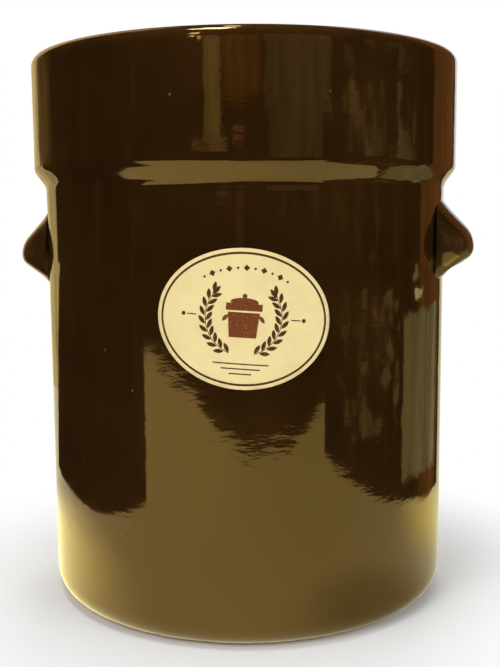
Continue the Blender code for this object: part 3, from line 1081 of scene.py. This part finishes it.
def glow_material(
    name, colour, other=None, rag=0.0, holes=0.0, grain=(1, 0.6), soft=0.003
):
    """A card's own painted light, from no lamp, in uneven upright streaks of two
    colours.

    Noise eats into the card's edges, by up to half of rag, in metres, and
    with holes also into its middle. grain is how fine that noise is sideways
    and upwards. The edges fade over soft, in metres.
    """
    material, tree = new_stage_material(name)
    tall = object_spot(tree, (1, 1, 0.2))
    uneven = spread(tree, cloud(tree, tall, 24, 4, 0.6), 0.38, 0.66)
    other = other or tuple(0.55 * value for value in colour)
    glow = add_node(
        tree,
        "ShaderNodeEmission",
        {"Color": blend_colours(tree, uneven, colour, other), "Strength": 1.0},
    )
    shown = glow
    if rag:
        sideways, upwards = grain
        torn = object_spot(tree, (sideways, sideways, upwards))
        torn = cloud(tree, torn, 70, 4, 0.65)
        depth = combine(tree, "SUBTRACT", torn, 0.5 + holes)
        depth = times(tree, depth, rag)
        inside = attribute(tree, "inside")
        if holes:
            inside = combine(tree, "MINIMUM", inside, rag / 10)
        depth = plus(tree, depth, inside)
        clear = add_node(tree, "ShaderNodeBsdfTransparent")
        shown = mix_shaders(tree, spread(tree, depth, 0.0, soft), clear, glow)
    add_node(tree, "ShaderNodeOutputMaterial", {"Surface": shown.outputs[0]})
    return material


def upright_card(name, distance, sides, heights, colour, looks):
    """A curved glowing card that only reflections see, between two azimuths, painting
    a reflection into the glaze.
    """
    start, end = sides
    low, high = heights
    width = math.radians(end - start) * distance
    shape = bmesh.new()
    bmesh.ops.create_grid(
        shape, x_segments=max(4, round((end - start) / 3)), y_segments=8, size=0.5
    )
    inside = []
    for vert in shape.verts:
        across = vert.co.x + 0.5
        up = vert.co.y + 0.5
        inside.append(min(
            across * width,
            (1 - across) * width,
            up * (high - low),
            (1 - up) * (high - low),
        ))
        azimuth = start + (end - start) * across
        vert.co = towards(azimuth, distance, low + (high - low) * up)
    card = add_stage_mesh(name, shape, glow_material(name, colour, **looks))
    layer = card.data.attributes.new("inside", "FLOAT", "POINT")
    layer.data.foreach_set("value", inside)
    reflect_only(card)


def make_surround(name, foot, low, high, colour, other, lean=0.0):
    """Dark glowing sheets that only reflections see, painting the reflection of dark
    things beyond the table, along (azimuth, distance) points.

    The left edge leans to the right by an angle, in degrees.
    """
    shape = bmesh.new()
    rows = []
    for height, shift in ((low, 0.0), (high, lean)):
        route = [(foot[0][0] + shift, foot[0][1])] + foot[1:]
        verts = [shape.verts.new(towards(*point, height)) for point in route]
        rows += [shape.edges.new(pair) for pair in zip(verts, verts[1:])]
    bmesh.ops.bridge_loops(shape, edges=rows)
    reflect_only(add_stage_mesh(name, shape, glow_material(name, colour, other)))


def reflect_only(thing):
    """Leaves a card to the reflections alone."""
    thing.visible_camera = False
    thing.visible_diffuse = False
    thing.visible_shadow = False
    thing.visible_transmission = False
    thing.visible_volume_scatter = False


def level_card(name, middle, width, depth, colour):
    """A level glowing card overhead that only reflections see, painting a reflection.
    Its middle and sides are as the camera sees them.
    """
    shape = bmesh.new()
    bmesh.ops.create_grid(shape, x_segments=1, y_segments=1, size=0.5)
    bmesh.ops.scale(shape, vec=(width, depth, 1), verts=shape.verts)
    bmesh.ops.translate(shape, vec=middle, verts=shape.verts)
    turn = Matrix.Rotation(VIEW_TURN, 4, "Z")
    bmesh.ops.transform(shape, matrix=turn, verts=shape.verts)
    reflect_only(add_stage_mesh(name, shape, glow_material(name, colour)))


def make_lamp(name, place, size, power, seen_in_gloss):
    """A square area lamp that points at the crock."""
    light = bpy.data.lights.new(name, "AREA")
    light.shape = "SQUARE"
    light.size = size
    light.energy = power
    lamp = bpy.data.objects.new(name, light)
    bpy.context.scene.collection.objects.link(lamp)
    lamp.location = place
    crock_middle = Vector((0, 0, 0.17))
    aim = crock_middle - place
    lamp.rotation_euler = aim.to_track_quat("-Z", "Y").to_euler()
    lamp.visible_camera = False
    lamp.visible_glossy = seen_in_gloss


def make_world():
    """White where the camera and reflections see it, soft fill elsewhere."""
    world = bpy.data.worlds.new("studio")
    bpy.context.scene.world = world
    world.use_nodes = True
    tree = world.node_tree
    tree.nodes.clear()
    fill = add_node(
        tree, "ShaderNodeBackground", {"Color": (1, 1, 1, 1), "Strength": 0.5}
    )
    white = add_node(
        tree, "ShaderNodeBackground", {"Color": (1, 1, 1, 1), "Strength": 1.0}
    )
    rays = add_node(tree, "ShaderNodeLightPath").outputs
    seen = combine(tree, "MAXIMUM", rays["Is Camera Ray"], rays["Is Glossy Ray"])
    seen = combine(tree, "MAXIMUM", seen, rays["Is Transmission Ray"])
    mixed = mix_shaders(tree, seen, fill, white)
    add_node(tree, "ShaderNodeOutputWorld", {"Surface": mixed.outputs[0]})


def make_camera():
    """The photograph's view, from lower than the rim and looking slightly down.

    It comes from a camera fitted to the crock's outline in the photograph.
    """
    lens = bpy.data.cameras.new("camera")
    focal_pixels = 971.1
    photo_height = 667
    sensor = 36
    lens.lens = focal_pixels * sensor / photo_height
    lens.sensor_width = sensor
    lens.sensor_fit = "AUTO"
    camera = bpy.data.objects.new("camera", lens)
    bpy.context.scene.collection.objects.link(camera)
    round_crock = Matrix.Rotation(VIEW_TURN, 4, "Z")
    place = Matrix.Translation((-0.0030, -0.640, 0.2420))
    downward = 0.1236
    pitch = Matrix.Rotation(math.pi / 2 - downward, 4, "X")
    yaw = Matrix.Rotation(-0.0081, 4, "Y")
    roll = Matrix.Rotation(-0.0087, 4, "Z")
    camera.matrix_world = round_crock @ place @ pitch @ yaw @ roll
    bpy.context.scene.camera = camera


def make_studio():
    """Floor, world, lamps, and glowing cards of a dark surround that paint what the
    glaze reflects.
    """
    make_world()
    make_floor()
    # Name, place, size in metres, power in watts, and if reflections show it
    make_lamp("key_lamp", towards(-35, 1.94, 1.7), 1.0, 19.5, False)
    make_lamp("fill_lamp", towards(51, 1.92, 1.2), 1.2, 11, False)
    make_lamp("back_lamp", towards(167, 1.84, 1.5), 1.2, 13, False)
    make_lamp("bright_lamp", towards(-35, 0.43, 1.6), 0.30, 4, True)
    # Overhead glowing cards: a dim one painting a dark reflection, and a bright one
    # painting a highlight on the rim
    level_card("dark_ceiling", (0, 0, 1.9), 2.4, 2.4, (0.05, 0.045, 0.035))
    level_card("roof_light", (-0.078, 0.62, 1.85), 0.12, 1.10, (7.0, 6.3, 4.4))
    make_surroundings()


def make_surroundings():
    """Glowing cards that only reflections see, painting what the glaze reflects: a dim
    room with a few paler things in it.
    """
    # Colours of the glow of sheets that paint dark reflections
    black = (0.012, 0.008, 0.004)
    dim = (0.035, 0.022, 0.008)
    make_surround(
        "dark_seat",
        [(-130, 0.38), (-109, 0.345), (-94, 0.327), (-76, 0.322), (-57, 0.349),
         (-49, 0.39)],
        0.0, 0.20, black, dim, lean=15,
    )
    make_surround(
        "dark_back_rest",
        [(-115, 0.348), (-94, 0.327), (-76, 0.322), (-57, 0.349), (-49, 0.39)],
        0.20, 1.9, black, dim,
    )
    make_surround(
        "dark_room",
        [(-75, 1.35), (-52, 1.30), (-42, 1.095), (-28, 0.905), (-20, 0.763),
         (-10, 0.698), (-1, 0.57), (12, 0.60), (22, 0.614), (29, 0.687),
         (35, 0.761), (46, 0.90)],
        0.0, 1.9, black, (0.032, 0.019, 0.006),
    )
    make_surround(
        "dark_cupboard",
        [(38, 0.56), (42, 0.517), (50, 0.448), (62, 0.379), (75, 0.351), (94, 0.325),
         (110, 0.315), (126, 0.311)],
        0.0, 1.9, black, dim,
    )
    make_surround(
        "dark_screen",
        [(150, 0.33), (160, 0.31), (180, 0.30), (200, 0.31), (210, 0.33)],
        0.0, 1.5, black, (0.080, 0.048, 0.018), lean=3,
    )
    # Glowing cards that paint reflections, the last few painted highlights on the rim.
    # Name, distance, from and to which azimuth, heights, colour, and its looks
    cards = [
        ("low_wall", 0.8, (-180, -108), (0.0, 0.30), (1.10, 0.85, 0.36), {}),
        ("high_wall", 0.9, (-180, -108), (0.30, 1.9), (1.12, 0.84, 0.38), {}),
        ("warm_edge", 0.318, (-122, -99), (0.262, 0.42), (0.23, 0.14, 0.04),
         dict(rag=0.030, grain=(0.5, 0.2), soft=0.035)),
        ("pale_streak", 0.54, (-18, -10.5), (0.305, 0.46), (0.46, 0.37, 0.22),
         dict(rag=0.010)),
        ("pale_foot", 0.53, (-24, -8), (0.292, 0.313), (0.36, 0.27, 0.16),
         dict(rag=0.014)),
        ("rust_curtain", 0.55, (-10.5, 7), (0.34, 0.47), (0.24, 0.12, 0.02),
         dict(rag=0.030, grain=(0.4, 0.4), soft=0.010)),
        ("red_spot", 0.54, (-6, 0), (0.297, 0.325), (0.50, 0.24, 0.17),
         dict(rag=0.002, soft=0.013)),
        ("olive_curtain", 0.55, (8, 38), (0.33, 0.52), (0.19, 0.17, 0.11),
         dict(rag=0.060)),
        ("olive_things", 0.54, (10, 34), (0.255, 0.345), (0.18, 0.155, 0.10),
         dict(rag=0.070, holes=-0.04)),
        ("grey_things", 0.34, (38, 86), (0.275, 0.345), (0.29, 0.25, 0.16),
         dict(rag=0.050, holes=0.08, grain=(0.36, 0.25), soft=0.006)),
        ("high_things", 0.34, (40, 84), (0.345, 0.41), (0.15, 0.13, 0.07),
         dict(rag=0.050, holes=0.07, grain=(0.36, 0.25), soft=0.006)),
        ("orange_strip", 0.305, (91, 124), (-0.02, 0.70), (0.27, 0.11, 0.03),
         dict(rag=0.020, grain=(0.9, 0.06), soft=0.022)),
        ("tan_bar", 0.30, (78, 117), (0.024, 0.167), (0.46, 0.42, 0.22),
         dict(rag=0.034, grain=(0.5, 0.5), soft=0.006)),
        ("bright_curl", 0.295, (87, 96), (0.171, 0.184), (1.8, 1.6, 1.0),
         dict(rag=0.012)),
        ("curl_above", 0.295, (86, 92), (0.187, 0.206), (0.60, 0.52, 0.30),
         dict(rag=0.030, holes=0.05, grain=(0.6, 1.0))),
        ("scribbles", 0.33, (40, 78), (0.06, 0.185), (0.33, 0.27, 0.16),
         dict(rag=0.050, holes=0.10, grain=(0.35, 0.55), soft=0.006)),
        ("pale_blot", 0.50, (-14, -6.3), (0.247, 0.266), (0.27, 0.23, 0.18),
         dict(rag=0.016, grain=(0.5, 0.6), soft=0.008)),
        ("rust_streak", 0.50, (-5.2, -1), (0.205, 0.272), (0.13, 0.055, 0.03),
         dict(rag=0.012, grain=(0.5, 0.3), soft=0.008)),
        ("low_blots", 0.50, (7, 36), (0.240, 0.268), (0.17, 0.15, 0.11),
         dict(rag=0.040, holes=0.03, grain=(0.4, 0.7), soft=0.010)),
        ("faint_things", 0.335, (37, 80), (0.200, 0.262), (0.15, 0.11, 0.06),
         dict(rag=0.050, holes=0.06, grain=(0.5, 0.3), soft=0.010)),
        ("rim_spark", 0.60, (-27, -21.5), (0.60, 0.74), (5.0, 4.5, 3.0), {}),
        ("left_glint", 0.60, (-24.4, -22.6), (0.455, 0.51), (5.0, 4.5, 3.0), {}),
        ("right_glint", 0.60, (-20.6, -19.2), (0.43, 0.475), (4.0, 3.5, 2.2), {}),
        ("back_light", 1.2, (182, 188), (0.50, 1.85), (12.0, 11.0, 8.0), {}),
    ]
    for name, distance, sides, heights, colour, looks in cards:
        upright_card(name, distance, sides, heights, colour, looks)


def main():
    scene = bpy.context.scene
    scene.view_settings.view_transform = "Standard"
    make_camera()
    make_studio()
    glaze = make_glaze("brown_glaze")
    clay = make_clay()
    paper = make_paper()
    brown_ink = make_ink("brown_ink", (0.070, 0.024, 0.006), (0.36, 0.22, 0.08))
    rust_ink = make_ink("rust_ink", (0.165, 0.042, 0.010), (0.42, 0.22, 0.08))
    make_body(glaze)
    make_collar(glaze)
    make_handle("handle_left_glazed", -1, glaze, "handle_left")
    make_handle("handle_right_glazed", 1, glaze, "handle_right")
    make_label(paper)
    make_brown_print(brown_ink)
    make_rust_print(rust_ink)
    make_lid(glaze)
    make_knob(glaze)
    make_weight("weight_left_clay", -1, clay, "weight_left")
    make_weight("weight_right_clay", 1, clay, "weight_right")


main()
bpy.context.view_layer.update()
